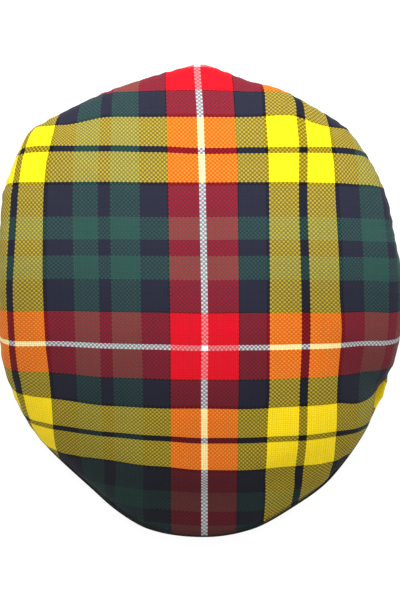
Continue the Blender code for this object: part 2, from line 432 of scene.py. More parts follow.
def spun(bearing: np.ndarray, lines: np.ndarray, apex_back: float) -> np.ndarray:
    """Turn lines of points about the highest point, into the cap's frame.

    Args:
        bearing: The bearing of each line, in degrees.
        lines: The lines of points (out, up).
        apex_back: How far the highest point is from the middle, towards the back.

    Returns:
        The points, as (right, back, up).
    """
    angle = np.radians(bearing)[:, None]
    out, up = lines[..., 0], lines[..., 1]
    return np.stack([out * np.cos(angle), apex_back + out * np.sin(angle), up], axis=-1)


@dataclass
class ClothLay:
    """Where the flat tartan lies on the crown: its threads keep their spacing along and across."""

    form: CapForm
    grid_step: float = 1.0 * MM
    bearings: int = 361
    shares: int = 241
    fold_share: float = 0.94  # past this share of its reach the cloth turns down
    white_crossing: tuple[float, float] = (0.00175, -0.02715)
    # How far the cloth lies to the right of where it would fall straight, in mm, by shares of half
    # the width (the columns) and of half the length (the rows, back to front)
    slip_across: Row = (-0.95, -0.78, -0.62, -0.30, 0.0, 0.33, 0.51, 0.68, 0.80, 0.93)
    slip_right: tuple[Row, ...] = (
        # along, then one value for each column
        (0.98, 8.5, 8.5, 3.0, -3.0, -4.4, -3.3, -1.0, -7.4, -9.0, -9.0),
        (0.78, 8.0, 8.1, 2.0, -2.3, -2.5, -2.6, -2.0, -6.3, -7.0, -7.0),
        (0.65, 3.5, 3.4, 0.8, -1.9, -1.9, -1.6, -1.0, -4.2, -6.0, -5.0),
        (0.57, 1.5, 0.4, -0.2, -1.7, -1.5, -1.2, -1.2, -2.4, -4.5, -3.0),
        (0.43, 0.0, -1.0, -0.4, -1.5, -1.1, -1.1, -1.4, -1.7, -4.0, -2.5),
        (0.17, -2.6, -1.4, 0.1, -1.1, -0.4, -0.8, -0.5, 0.1, -2.0, -0.5),
        (0.05, -4.4, -1.6, 0.3, -0.9, -0.1, -0.6, 0.1, 0.6, -1.5, 0.0),
        (-0.16, -5.8, -1.3, 0.5, -0.4, 0.2, -0.6, 0.9, 3.0, 1.0, 2.0),
        (-0.38, -6.8, -0.1, 0.6, 0.1, -0.1, -0.6, -0.1, 2.1, 1.5, 2.0),
        (-0.50, -7.0, 0.1, 0.6, 0.2, -0.1, -1.5, -0.3, 2.4, 2.0, 2.5),
        (-0.65, -6.0, -1.0, 0.4, 0.1, 0.0, -2.0, -1.1, 2.5, 2.5, 2.5),
        (-0.86, -3.0, -0.5, 0.0, 0.0, 0.0, -2.8, -2.9, 0.0, 1.0, 1.0),
        (-1.00, -3.0, -0.5, 0.0, 0.0, 0.0, -3.0, -3.2, 0.0, 0.0, 0.0),
    )
    # The same towards the back
    rise_across: Row = (-0.95, -0.70, -0.45, -0.23, 0.0, 0.25, 0.43, 0.66, 0.78, 0.95)
    slip_back: tuple[Row, ...] = (
        # along, then one value for each column
        (0.90, -8.0, -4.0, 0.0, -0.4, -1.0, 0.0, 1.4, -6.0, -9.0, -10.0),
        (0.77, -7.5, -5.6, 0.2, -0.3, -0.9, 0.0, 1.6, -7.4, -9.5, -10.0),
        (0.65, 0.0, 0.3, 0.6, 0.0, -1.4, -0.7, -0.2, -0.1, -0.4, -5.0),
        (0.51, 0.0, -0.1, -0.1, -0.4, -0.5, -0.3, -0.1, -0.5, -1.2, -2.0),
        (-0.20, -0.6, 1.3, 0.6, 0.4, -0.1, 0.1, 0.0, -0.5, 0.0, -1.2),
        (-0.46, 2.4, 2.6, 0.3, 0.2, 0.4, -0.4, 0.4, 0.2, -3.0, -3.5),
        (-0.59, 3.5, 3.9, 2.9, 1.8, 0.2, 0.0, 0.5, 0.5, -0.3, -1.5),
        (-0.71, 3.0, 2.7, 4.0, 2.8, 0.2, -0.4, 0.0, -0.3, -0.4, -1.0),
        (-0.82, 3.5, 3.8, 5.0, 4.0, 2.2, 2.0, 2.2, 2.0, 1.5, 0.0),
        (-1.00, 3.0, 3.2, 3.5, 2.6, 1.0, 0.8, 1.0, 1.0, 1.0, 0.0),
    )
    _u: np.ndarray = field(init=False)
    _v: np.ndarray = field(init=False)
    _x: np.ndarray = field(init=False)
    _y: np.ndarray = field(init=False)

    def __post_init__(self) -> None:
        """Measure the cloth along each line of a grid in plan."""
        form = self.form
        table = np.linspace(-90.0, 270.0, self.bearings)
        lines = form.crown_fine(table)
        share_at = np.linspace(0.0, 1.0, self.shares)
        heights = np.empty((self.bearings, self.shares))
        for i, line in enumerate(lines):
            top = int(np.argmax(line[:, 0])) + 1
            heights[i] = np.interp(share_at, line[:top, 0] / line[top - 1, 0], line[:top, 1])
        self._x = np.arange(-form.width / 2, form.width / 2 + self.grid_step, self.grid_step)
        self._y = np.arange(-form.length / 2, form.length / 2 + self.grid_step, self.grid_step)
        x, y = np.meshgrid(self._x, self._y, indexing="ij")
        dy = y - form.apex_back
        bearing = wrapped(np.degrees(np.arctan2(dy, x)))
        edge = lines[..., 0].max(axis=1)
        share = np.clip(np.hypot(x, dy) / np.interp(bearing, table, edge), 0, 1)
        z = self._read(heights, (bearing + 90.0) / 360.0, share)
        points = np.stack([x, y, z], axis=-1)
        across = run_length(points[..., ::2], axis=0)
        along = run_length(points[..., 1:], axis=1)
        middle = int(np.argmin(np.abs(self._x)))
        level = int(np.argmin(np.abs(self._y - form.apex_back)))
        self._u = across - across[middle]
        self._v = along - along[:, level][:, None]
        crossing = self._straight(np.array([self.white_crossing]))[0]
        self._u -= crossing[0]
        self._v -= crossing[1]

    @staticmethod
    def _read(table: np.ndarray, first: np.ndarray, second: np.ndarray) -> np.ndarray:
        """Read a table between its entries.

        Args:
            table: Values on an even grid.
            first: Shares from 0 to 1 of its first axis.
            second: Shares from 0 to 1 of its second axis.

        Returns:
            The value at each place.
        """
        a = np.clip(first, 0, 1) * (table.shape[0] - 1)
        b = np.clip(second, 0, 1) * (table.shape[1] - 1)
        i = np.minimum(a.astype(int), table.shape[0] - 2)
        j = np.minimum(b.astype(int), table.shape[1] - 2)
        s, t = a - i, b - j
        near = table[i, j] * (1 - t) + table[i, j + 1] * t
        far = table[i + 1, j] * (1 - t) + table[i + 1, j + 1] * t
        return near * (1 - s) + far * s

    def _straight(self, plan: np.ndarray) -> np.ndarray:
        """Read the cloth's coordinates, had it fallen straight.

        Args:
            plan: Places seen from above, in metres.

        Returns:
            Metres across and along the cloth, for each place.
        """
        first = (plan[..., 0] - self._x[0]) / (self._x[-1] - self._x[0])
        second = (plan[..., 1] - self._y[0]) / (self._y[-1] - self._y[0])
        return np.stack([self._read(self._u, first, second), self._read(self._v, first, second)], axis=-1)

    @staticmethod
    def _slip(across: np.ndarray, along: np.ndarray, columns: Row, rows: tuple[Row, ...]) -> np.ndarray:
        """Read how far the cloth has slipped.

        Args:
            across: Places across the cap, as shares of half its width.
            along: Places along it, as shares of half its length.
            columns: Where the table's columns stand across.
            rows: The table, back to front: a place along, then one slip in mm for each column.

        Returns:
            The slip at each place, in metres.
        """
        table = np.array(rows)[::-1]
        by_row = smooth_through(np.clip(along, table[0, 0], table[-1, 0]), table[:, 0], table[:, 1:])
        place = np.interp(across, columns, np.arange(len(columns)))
        low = np.minimum(place.astype(int), len(columns) - 2)
        share = place - low
        share = share * share * (3 - 2 * share)
        near = np.take_along_axis(by_row, low[:, None], axis=1)[:, 0]
        far = np.take_along_axis(by_row, low[:, None] + 1, axis=1)[:, 0]
        return (near * (1 - share) + far * share) * MM

    def slipped(self, plan: np.ndarray) -> np.ndarray:
        """Read both slips of the cloth.

        Args:
            plan: Places seen from above, in metres.

        Returns:
            Metres to the right and to the back, for each place.
        """
        across = (plan[..., 0] / (self.form.width / 2)).ravel()
        along = (plan[..., 1] / (self.form.length / 2)).ravel()
        right = self._slip(across, along, self.slip_across, self.slip_right)
        back = self._slip(across, along, self.rise_across, self.slip_back)
        return np.stack([right, back], axis=-1).reshape(plan.shape[:-1] + (2,))

    def flat(self, bearing: np.ndarray, points: np.ndarray) -> np.ndarray:
        """Return the flat cloth's coordinates of the crown's points.

        Args:
            bearing: The bearing of each line of points.
            points: The crown's outer face, as lines from the highest point to the seam.

        Returns:
            Metres across and along the cloth, for each point.
        """
        form = self.form
        flat = self._straight(points[..., :2])
        out = np.hypot(points[..., 0], points[..., 1] - form.apex_back)
        run = run_length(points, axis=1)
        angle = np.radians(bearing)
        way = np.stack([np.cos(angle), np.sin(angle)], axis=-1)
        for i in range(len(points)):
            fold = int(np.argmax(out[i] >= self.fold_share * out[i].max()))
            past = run[i, fold:] - run[i, fold]
            flat[i, fold:] = flat[i, fold] + past[:, None] * way[i]
        return flat - self.slipped(points[..., :2])


class Hand(Enum):
    """The side of the picture that a panel is on, as the sign of its X."""

    PICTURE_LEFT = -1
    PICTURE_RIGHT = 1


@dataclass(frozen=True)
class SideForm:
    """The shape between the crown's seam, the rim and the peak, worked out from the crown's form."""

    cap: CapForm
    rows: int = 64

    def inward(self, lines: np.ndarray, depth: float) -> np.ndarray:
        """Move lines of points towards the inside of the cap.

        Args:
            lines: Lines of points (out, up).
            depth: How far, in metres.

        Returns:
            The lines moved square to themselves.
        """
        moved = []
        for line in lines:
            angle = line_angles(line)
            if line[0, 0] == 0.0:
                angle[0] = 0.0
            moved.append(line + np.stack([np.sin(angle), -np.cos(angle)], axis=-1) * depth)
        return np.array(moved)

    def peak_ends(self, bearing: np.ndarray, crown: np.ndarray) -> tuple[np.ndarray, np.ndarray]:
        """Return the peak's upper face at its edge and at its neck, as points (out, up).

        Args:
            bearing: The bearings asked for.
            crown: The crown's outer face along the same bearings.

        Returns:
            The points at the edge, and those at the neck.
        """
        cap = self.cap
        away = cap.away(bearing)
        corner, wing = cap.corner - cap.front, cap.wing_tip - cap.front
        rim, reach = cap.head_reach(bearing), cap.reach(bearing)
        lifts = np.array((cap.neck_lift, cap.neck_corner_lift, 0.0))
        neck_up = smooth_through(np.minimum(away, wing), (0.0, corner, wing), lifts) + cap.peak_thickness
        neck = np.stack([rim, neck_up], axis=-1)
        tucked = self.inward(crown, cap.cloth)[:, -1]
        landing = np.minimum(tucked[:, 1], crown[:, -1, 1]) - cap.seam_gap
        slope = (landing - neck_up) / (tucked[:, 0] - rim)
        up = landing + slope * (reach - tucked[:, 0])
        up += (cap.peak_thickness - up) * eased(away, *cap.tail_range)
        past_corner = away > corner
        narrowed = rim + cap.hem + (reach - rim - cap.hem) * (1 - eased(away, corner + cap.wing_hold, wing))
        edge = np.stack([np.where(past_corner, narrowed, reach), up], axis=-1)
        edge[past_corner, 1] = cap.peak_thickness
        return edge, neck

    def hem_ends(self, bearing: np.ndarray, crown: np.ndarray) -> tuple[np.ndarray, np.ndarray]:
        """Find a side panel's lower edge, on the table or on the peak.

        Args:
            bearing: Angles about the highest point, in degrees.
            crown: The crown's outer face along the same bearings.

        Returns:
            The outer and the inner points (out, up).
        """
        cap = self.cap
        away = cap.away(bearing)
        wing = cap.wing_tip - cap.front
        rim = cap.head_reach(bearing)
        on_table = (1 - eased(away, wing, wing + cap.hem_drop)) * cap.seat
        outer = np.stack([rim + cap.hem, on_table], axis=-1)
        inner = np.stack([rim, on_table], axis=-1)
        edge, neck = self.peak_ends(bearing, crown)
        over_peak = away < wing
        share = (cap.hem / np.maximum(edge[:, 0] - neck[:, 0], cap.hem))[:, None]
        lift = np.array([0.0, cap.seam_gap])
        outer[over_peak] = (edge + lift)[over_peak]
        inner[over_peak] = (edge + (neck - edge) * share + lift)[over_peak]
        return outer, inner

    def lines(self, bearing: np.ndarray, crown: np.ndarray) -> tuple[np.ndarray, np.ndarray]:
        """Draw a side panel's outer face from the crown's seam to the rim.

        Args:
            bearing: Angles about the highest point, in degrees.
            crown: The crown's outer face along the same bearings.

        Returns:
            Lines of points (out, up), and the unit directions from them into the wall.
        """
        cap = self.cap
        down = crown[:, -1] - crown[:, -2]
        down /= np.linalg.norm(down, axis=-1, keepdims=True)
        start = crown[:, -1] + down * cap.seam_gap
        end, hem_inner = self.hem_ends(bearing, crown)
        span = np.linalg.norm(end - start, axis=-1, keepdims=True)
        bulge = np.stack([cap.bulge * cap.bulged(bearing), np.zeros(len(start))], axis=-1)
        first = start + down * span * cap.leave_seam + bulge
        second = end + np.array(cap.meet_rim) * span + bulge
        u = np.linspace(0, 1, self.rows)[None, :, None]
        a, b, c, d = (p[:, None, :] for p in (start, first, second, end))
        face = a * (1 - u) ** 3 + 3 * b * u * (1 - u) ** 2 + 3 * c * u**2 * (1 - u) + d * u**3
        into = self.inward(face, 1.0) - face
        at_rim = hem_inner - end
        at_rim /= np.linalg.norm(at_rim, axis=-1, keepdims=True)
        turned = u**4
        way = into * (1 - turned) + at_rim[:, None, :] * turned
        return face, way / np.linalg.norm(way, axis=-1, keepdims=True)


@dataclass
class Shell:
    """A closed mesh with an outer and an inner face that meet round their edges."""

    name: str
    # Each face is a grid of points: columns round the cap, rows down from the top or the seam
    outer: np.ndarray
    inner: np.ndarray
    outer_cloth: np.ndarray
    inner_cloth: np.ndarray
    ring: bool
    # Painted shade along the crown's turned edge, from 0 to 1 at each outer point, if any
    painted_shade: Optional[np.ndarray] = None

    def build(self, cloth: bpy.types.Material) -> bpy.types.Object:
        """Make the object, with its cloth coordinates and one material.

        Args:
            cloth: The material of every face.

        Returns:
            The object, linked to the scene.
        """
        columns, rows = self.outer.shape[:2]
        points = np.concatenate([self.outer, self.inner[:, ::-1]], axis=1)
        flat = np.concatenate([self.outer_cloth, self.inner_cloth[:, ::-1]], axis=1)
        deep = 2 * rows
        i = np.arange(columns if self.ring else columns - 1)[:, None]
        k = np.arange(deep - 1 if self.ring else deep)[None, :]
        after, below = (i + 1) % columns, (k + 1) % deep
        quads = np.stack([i * deep + k, after * deep + k, after * deep + below, i * deep + below], axis=-1)
        faces = quads.reshape(-1, 4).tolist()
        if not self.ring:
            first = np.arange(rows - 1)
            cap = np.stack([first, first + 1, deep - 2 - first, deep - 1 - first], axis=-1)
            last = (columns - 1) * deep + cap[:, ::-1]
            faces += cap.tolist() + last.tolist()
        mesh = bpy.data.meshes.new(self.name)
        mesh.from_pydata(points.reshape(-1, 3).tolist(), [], faces)
        layer = mesh.uv_layers.new(name=CLOTH_UV)
        corner = np.empty(len(mesh.loops), dtype=np.int64)
        mesh.loops.foreach_get("vertex_index", corner)
        layer.data.foreach_set("uv", flat.reshape(-1, 2)[corner].astype(np.float32).ravel())
        # Keep the painted edge shade as a point attribute
        if self.painted_shade is not None:
            painted_shade = np.concatenate([self.painted_shade, self.painted_shade[:, ::-1]], axis=1)
            marks = mesh.attributes.new(PAINTED_SHADE_ATTRIBUTE, "FLOAT", "POINT")
            marks.data.foreach_set("value", painted_shade.astype(np.float32).ravel())
        close_up(mesh)
        mesh.shade_smooth()
        mesh.materials.append(cloth)
        thing = bpy.data.objects.new(self.name, mesh)
        bpy.context.scene.collection.objects.link(thing)
        return thing

    def cloth_area(self) -> float:
        """Measure the outer face.

        Returns:
            Its area in square metres.
        """
        grid = self.outer
        if self.ring:
            grid = np.concatenate([grid, grid[:1]])
        across = grid[1:, :-1] - grid[:-1, :-1]
        down = grid[:-1, 1:] - grid[:-1, :-1]
        return float(np.linalg.norm(np.cross(across, down), axis=-1).sum())


def close_up(mesh: bpy.types.Mesh) -> None:
    """Join points that lie in the same place, such as a ring's pole, and face everything outwards.

    Args:
        mesh: The closed mesh to mend.
    """
    work = bmesh.new()
    work.from_mesh(mesh)
    bmesh.ops.remove_doubles(work, verts=work.verts, dist=TOUCHING)
    bmesh.ops.recalc_face_normals(work, faces=work.faces)
    work.to_mesh(mesh)
    work.free()


class Wire:
    """A socket that can be used in arithmetic: each operation adds the Math node that does it."""

    def __init__(self, bench: "Bench", socket: bpy.types.NodeSocket) -> None:
        """Keep the bench that the socket's node stands on."""
        self.bench = bench
        self.socket = socket

    def _with(self, operation: str, first: "Value", second: "Value") -> "Wire":
        """Return the outcome of a Math node on two values."""
        return self.bench.add("ShaderNodeMath", {"operation": operation}, {0: first, 1: second})

    def __add__(self, other: "Value") -> "Wire":
        """Return the sum."""
        return self._with("ADD", self, other)

    __radd__ = __add__

    def __sub__(self, other: "Value") -> "Wire":
        """Return the difference."""
        return self._with("SUBTRACT", self, other)

    def __rsub__(self, other: "Value") -> "Wire":
        """Return the difference, from a number."""
        return self._with("SUBTRACT", other, self)

    def __mul__(self, other: "Value") -> "Wire":
        """Return the product."""
        return self._with("MULTIPLY", self, other)

    __rmul__ = __mul__

    def __truediv__(self, other: "Value") -> "Wire":
        """Return the quotient."""
        return self._with("DIVIDE", self, other)

    def __mod__(self, other: "Value") -> "Wire":
        """Return the remainder, never below zero."""
        return self._with("FLOORED_MODULO", self, other)

    def __lt__(self, other: "Value") -> "Wire":
        """Return 1 where this is less, else 0."""
        return self._with("LESS_THAN", self, other)

    def __abs__(self) -> "Wire":
        """Return the size without its sign."""
        return self._with("ABSOLUTE", self, 0.0)

    def floor(self) -> "Wire":
        """Return the whole number below."""
        return self._with("FLOOR", self, 0.0)


Value = Union[Wire, int, float, Sequence[float]]


class Bench:
    """One material's node tree, and the ways to add to it."""

    def __init__(self, name: str) -> None:
        """Start an empty material.

        Args:
            name: The material's name.
        """
        self.material = bpy.data.materials.new(name)
        self.material.use_nodes = True
        self.tree = self.material.node_tree
        self.tree.nodes.clear()

    def add(self, kind: str, settings: dict, inputs: dict, out: Union[int, str] = 0) -> Wire:
        """Add a node of any type.

        Args:
            kind: The node's type.
            settings: Its properties, set before its sockets.
            inputs: The value or link of each socket, by name or place.
            out: The output wanted, by name or place.

        Returns:
            That output.
        """
        node = self.tree.nodes.new(kind)
        for name, value in settings.items():
            if name == "stops":
                self._set_stops(node.color_ramp, value)
            else:
                setattr(node, name, value)
        for name, value in inputs.items():
            socket = node.inputs[name]
            if isinstance(value, Wire):
                self.tree.links.new(value.socket, socket)
            else:
                socket.default_value = value
        return Wire(self, node.outputs[out])

    @staticmethod
    def _set_stops(ramp: bpy.types.ColorRamp, stops: Sequence[tuple[float, Row]]) -> None:
        """Give a ramp its stops, each held until the next.

        Args:
            ramp: The node's ramp.
            stops: Each stop's place from 0 to 1, and its colour.
        """
        ramp.interpolation = "CONSTANT"
        while len(ramp.elements) < len(stops):
            ramp.elements.new(1.0)
        for element, (place, colour) in zip(ramp.elements, stops):
            element.position = place
            element.color = colour

    def mix(self, factor: Value, first: Value, second: Value, blend: str = "MIX") -> Wire:
        """Return a colour between two, or one blended onto the other."""
        settings = {"data_type": "RGBA", "blend_type": blend, "clamp_factor": True}
        return self.add("ShaderNodeMix", settings, {0: factor, 6: first, 7: second}, out=2)

    def scaled(self, colour: Value, amount: Value) -> Wire:
        """Return a colour made brighter or darker."""
        return self.add("ShaderNodeVectorMath", {"operation": "SCALE"}, {0: colour, "Scale": amount})

    def finish(self, surface: Wire) -> bpy.types.Material:
        """Join a shader to the output.

        Args:
            surface: The shader.

        Returns:
            The finished material.
        """
        output = self.tree.nodes.new("ShaderNodeOutputMaterial")
        self.tree.links.new(surface.socket, output.inputs["Surface"])
        return self.material


class Yarn(Enum):
    """The wool's dyed colours, as linear red, green and blue, and how far a dark crossing dims each."""

    NAVY = (0.0175, 0.0190, 0.0370, 1.0)
    GREEN = (0.0230, 0.0760, 0.0650, 1.0)
    YELLOW = (0.9800, 0.7200, 0.0060, 1.0)
    BLACK = (0.0025, 0.0025, 0.0035, 1.0)
    RED = (0.6600, 0.0020, 0.0130, 1.0)
    WHITE = (0.9500, 0.9200, 0.9400, 0.50)
    COAL = (0.0090, 0.0090, 0.0120, 1.0)


Sett = tuple[tuple[Yarn, int], ...]

WARP: Sett = (
    # yarn, threads, left to right from the white line
    (Yarn.WHITE, 6),
    (Yarn.RED, 29),
    (Yarn.BLACK, 1),
    (Yarn.NAVY, 24),
    (Yarn.BLACK, 3),
    (Yarn.YELLOW, 29),
    (Yarn.BLACK, 7),
    (Yarn.YELLOW, 28),
    (Yarn.BLACK, 3),
    (Yarn.NAVY, 24),
    (Yarn.GREEN, 24),
    (Yarn.NAVY, 12),
    (Yarn.GREEN, 27),
    (Yarn.NAVY, 26),
    (Yarn.BLACK, 1),
    (Yarn.RED, 28),
)
WEFT: Sett = (
    # yarn, threads, towards the back from the white line
    (Yarn.WHITE, 5),
    (Yarn.RED, 29),
    (Yarn.BLACK, 1),
    (Yarn.NAVY, 30),
    (Yarn.GREEN, 22),
    (Yarn.NAVY, 15),
    (Yarn.GREEN, 22),
    (Yarn.NAVY, 28),
    (Yarn.BLACK, 3),
    (Yarn.YELLOW, 28),
    (Yarn.BLACK, 7),
    (Yarn.YELLOW, 29),
    (Yarn.BLACK, 3),
    (Yarn.NAVY, 25),
    (Yarn.BLACK, 1),
    (Yarn.RED, 29),
)
PLAIN: Sett = ((Yarn.COAL, 8),)


class Weave(Enum):
    """How warp and weft pass over each other, two threads at a time."""

    HOPSACK = "two by two, in squares"
    TWILL = "two over two, in diagonals"


@dataclass(frozen=True)
class Crossing:
    """What lies on top at a place in the weave, and how far along and across its thread it is."""

    warp_on_top: "Wire"
    warp_number: "Wire"
    weft_number: "Wire"
    height: "Wire"


@dataclass(frozen=True)
class WoolCloth:
    """Woollen cloth whose threads take their colours from two setts."""

    name: str
    warp: Sett
    weft: Sett
    weave: Weave = Weave.HOPSACK
    pitch: float = 0.000634
    over: int = 2
    crossing_shade: float = 0.40  # how much darker a pale yarn looks where it crosses a dark one
    crossing_gain: float = 1.6  # how soon two yarns count as unlike
    sinking: float = 0.56  # how far a less pale yarn sinks beneath the other
    # Painted shade: the dark yarns are drawn darker towards the front of the cloth
    unshaded_above: float = 0.80  # yarns brighter than this get no painted shade towards the front
    fade: float = 0.60  # how much darker the painted shade makes the dark yarns at the front
    shade_from: float = 120.0  # threads along the cloth, as is the next
    shade_to: float = -170.0
    blurring: float = 0.25  # how far each yarn shows through the other
    like_blurring: float = 0.15  # as much again where neither is dark
    dark_below: float = 0.30  # yarns less bright than this are dark
    lit: float = 1.1  # how much a dark yarn takes from a bright one beside it
    painted_gap_shade: float = 0.30  # how dark the painted shade in the gaps between threads is
    thread_spread: float = 0.10
    warp_seed: float = 0.5
    weft_seed: float = 917.5
    mottle: float = 0.08
    mottle_size: float = 0.0012
    mottle_detail: float = 3.0
    fibre_size: float = 0.00012
    fibre_detail: float = 2.0
    relief: float = 0.00020
    relief_strength: float = 0.45
    fuzz_relief: float = 0.00005
    roughness: tuple[float, float] = (0.82, 0.95)
    sheen: float = 0.02
    sheen_roughness: float = 0.5
    specular: float = 0.20
    # How dark the painted shade along the crown's turned edge is at its strongest
    painted_shade_strength: float = 0.90

    def crossing(self, across: Wire, along: Wire) -> Crossing:
        """Work out the weave.

        Args:
            across: Place across the cloth, in threads.
            along: Place along the cloth, in threads.

        Returns:
            What lies on top there.
        """
        over = self.over
        warp_number, weft_number = across.floor(), along.floor()
        if self.weave is Weave.HOPSACK:
            warp_on_top = ((across / over).floor() + (along / over).floor()) % 2 < 0.5
            warp_run = along % over - over / 2
            weft_run = across % over - over / 2
        else:
            warp_on_top = (warp_number - weft_number) % (2 * over) < over
            warp_run = (warp_number + 1 - along) % (2 * over) - over / 2
            weft_run = (across - weft_number) % (2 * over) - 1.5 * over
        warp_off = (across - warp_number) * 2 - 1
        weft_off = (along - weft_number) * 2 - 1
        warp_height = (1 - warp_off * warp_off) * (1 - warp_run * warp_run)
        weft_height = (1 - weft_off * weft_off) * (1 - weft_run * weft_run)
        height = weft_height + (warp_height - weft_height) * warp_on_top
        return Crossing(warp_on_top, warp_number, weft_number, height)

    def thread(self, bench: Bench, sett: Sett, number: Wire) -> tuple[Wire, Wire]:
        """Look a thread up in a sett.

        Args:
            bench: The material's bench.
            sett: The sett, which repeats.
            number: The thread's number.

        Returns:
            Its colour, and how far a dark crossing dims it.
        """
        total = sum(count for _, count in sett)
        stops = []
        start = 0
        for yarn, count in sett:
            stops.append((start / total, yarn.value))
            start += count
        place = (number % total + 0.5) / total
        colour = bench.add("ShaderNodeValToRGB", {"stops": stops}, {0: place})
        return colour, Wire(bench, colour.socket.node.outputs["Alpha"])

    def uneven(self, bench: Bench, number: Wire, seed: float) -> Wire:
        """Return how bright the thread with a number is, around 1."""
        noise = bench.add("ShaderNodeTexWhiteNoise", {"noise_dimensions": "1D"}, {"W": number + seed})
        return noise * self.thread_spread + (1 - self.thread_spread / 2)

    def strength(self, bench: Bench, colour: Wire) -> tuple[Wire, Wire]:
        """Measure how bright and how pale a yarn is.

        Args:
            bench: The material's bench.
            colour: The yarn's colour.

        Returns:
            The largest of its red, green and blue, and its green, which only pale yarns have much of.
        """
        value = bench.add("ShaderNodeSeparateColor", {"mode": "HSV"}, {0: colour}, out=2)
        pale = bench.add("ShaderNodeSeparateColor", {"mode": "RGB"}, {0: colour}, out=1)
        return value, pale

    def front_shade_and_bleed(self, value: Wire, deep: Wire, strong: Wire) -> Wire:
        """Return how much a yarn's colour changes under the painted shade towards the front and beside a
        much brighter yarn.
        """
        return (1 - (value < self.unshaded_above) * deep) * (1 + (value < self.dark_below) * strong * self.lit)

    def depth(self, along: Wire) -> Wire:
        """Work out the painted shade that darkens the dark yarns towards the front.

        Args:
            along: Place along the cloth, in threads.

        Returns:
            The share of its brightness that a dark yarn lacks there.
        """
        ends = {"From Min": self.shade_from, "From Max": self.shade_to, "To Min": 0.0, "To Max": self.fade}
        settings = {"interpolation_type": "SMOOTHSTEP"}
        return along.bench.add("ShaderNodeMapRange", settings, {"Value": along, **ends})

    def reverse(self, flat: np.ndarray) -> np.ndarray:
        """Return the coordinates of the cloth's reverse, moved on so that the other yarn is on top."""
        return flat + [0.0, self.over * self.pitch]

    def grain(self, bench: Bench, cloth: Wire, size: float, detail: float) -> Wire:
        """Return fine noise over the cloth, of a size in metres."""
        at = bench.scaled(cloth, 1 / size)
        return bench.add("ShaderNodeTexNoise", {"noise_dimensions": "2D"}, {"Vector": at, "Detail": detail})

    def colour(self, bench: Bench, cloth: Wire, crossing: Crossing, along: Wire) -> Wire:
        """Work out the colour that shows.

        Args:
            bench: The material's bench.
            cloth: The cloth's coordinates.
            crossing: What lies on top.
            along: Place along the cloth, in threads.

        Returns:
            The colour, with the yarns' blurring and their unevenness, and painted shade in the valleys,
            towards the front and along the crown's turned edge.
        """
        on_top = crossing.warp_on_top
        warp_colour, warp_dims = self.thread(bench, self.warp, crossing.warp_number)
        weft_colour, weft_dims = self.thread(bench, self.weft, crossing.weft_number)
        warp_value, warp_pale = self.strength(bench, warp_colour)
        weft_value, weft_pale = self.strength(bench, weft_colour)
        least = bench.add("ShaderNodeMath", {"operation": "MINIMUM"}, {0: warp_value, 1: weft_value})
        one_dark = least < self.dark_below
        # Painted shade towards the front, on crossings with a dark yarn
        deep = self.depth(along) * one_dark
        gap = abs(warp_value - weft_value)
        strong = bench.add("ShaderNodeClamp", {}, {0: gap * self.crossing_gain})
        # Each yarn darkened by the painted front shade and lifted beside a much brighter yarn
        warp_colour = bench.scaled(warp_colour, self.front_shade_and_bleed(warp_value, deep, strong))
        weft_colour = bench.scaled(weft_colour, self.front_shade_and_bleed(weft_value, deep, strong))

        crossed = 1 - strong * warp_dims * weft_dims * one_dark * self.crossing_shade
        warp_even = self.uneven(bench, crossing.warp_number, self.warp_seed)
        weft_even = self.uneven(bench, crossing.weft_number, self.weft_seed)
        even = weft_even + (warp_even - weft_even) * on_top
        mottled = self.grain(bench, cloth, self.mottle_size, self.mottle_detail)
        bright = crossed * even * (1 + (mottled - 0.5) * self.mottle)
        # Painted shade in the gaps between the threads, lighter on their tops
        bright = bright * (1 - self.painted_gap_shade + crossing.height * self.painted_gap_shade * 2)
        # Painted shade along the crown's turned edge, read from its point attribute
        painted_shade = bench.add("ShaderNodeAttribute", {"attribute_name": PAINTED_SHADE_ATTRIBUTE}, {}, out="Fac")
        bright = bright * (1 - painted_shade * self.painted_shade_strength)

        sunk = (warp_pale - weft_pale) * least * self.sinking
        blurring = self.blurring + (1 - one_dark) * self.like_blurring
        blurred = on_top * (1 - 2 * blurring) + blurring
        return bench.scaled(bench.mix(blurred - sunk, weft_colour, warp_colour), bright)

    def material(self) -> bpy.types.Material:
        """Make the cloth's material.

        Returns:
            The material, for pieces that have the cloth's coordinates.
        """
        bench = Bench(self.name)
        cloth = bench.add("ShaderNodeUVMap", {"uv_map": CLOTH_UV}, {}, out="UV")
        right = bench.add("ShaderNodeSeparateXYZ", {}, {0: cloth})
        back = Wire(bench, right.socket.node.outputs["Y"])
        across = right / self.pitch + half_first(self.warp)
        along = back / self.pitch + half_first(self.weft)
        crossing = self.crossing(across, along)
        fibre = self.grain(bench, cloth, self.fibre_size, self.fibre_detail)
        height = crossing.height + fibre * (self.fuzz_relief / self.relief)
        bump = {"Strength": self.relief_strength, "Distance": self.relief, "Height": height}
        low, high = self.roughness
        surface = {
            "Base Color": self.colour(bench, cloth, crossing, along),
            "Roughness": fibre * (high - low) + low,
            "Normal": bench.add("ShaderNodeBump", {}, bump),
            "Sheen Weight": self.sheen,
            "Sheen Roughness": self.sheen_roughness,
            "Specular IOR Level": self.specular,
        }
        return bench.finish(bench.add("ShaderNodeBsdfPrincipled", {}, surface))


def half_first(sett: Sett) -> float:
    """Return half the threads of a sett's first line, so that its middle lies at the cloth's zero."""
    return sett[0][1] / 2


TARTAN = WoolCloth("tartan_wool", WARP, WEFT)
PEAK_CLOTH = WoolCloth("plain_dark_twill", PLAIN, PLAIN, Weave.TWILL)


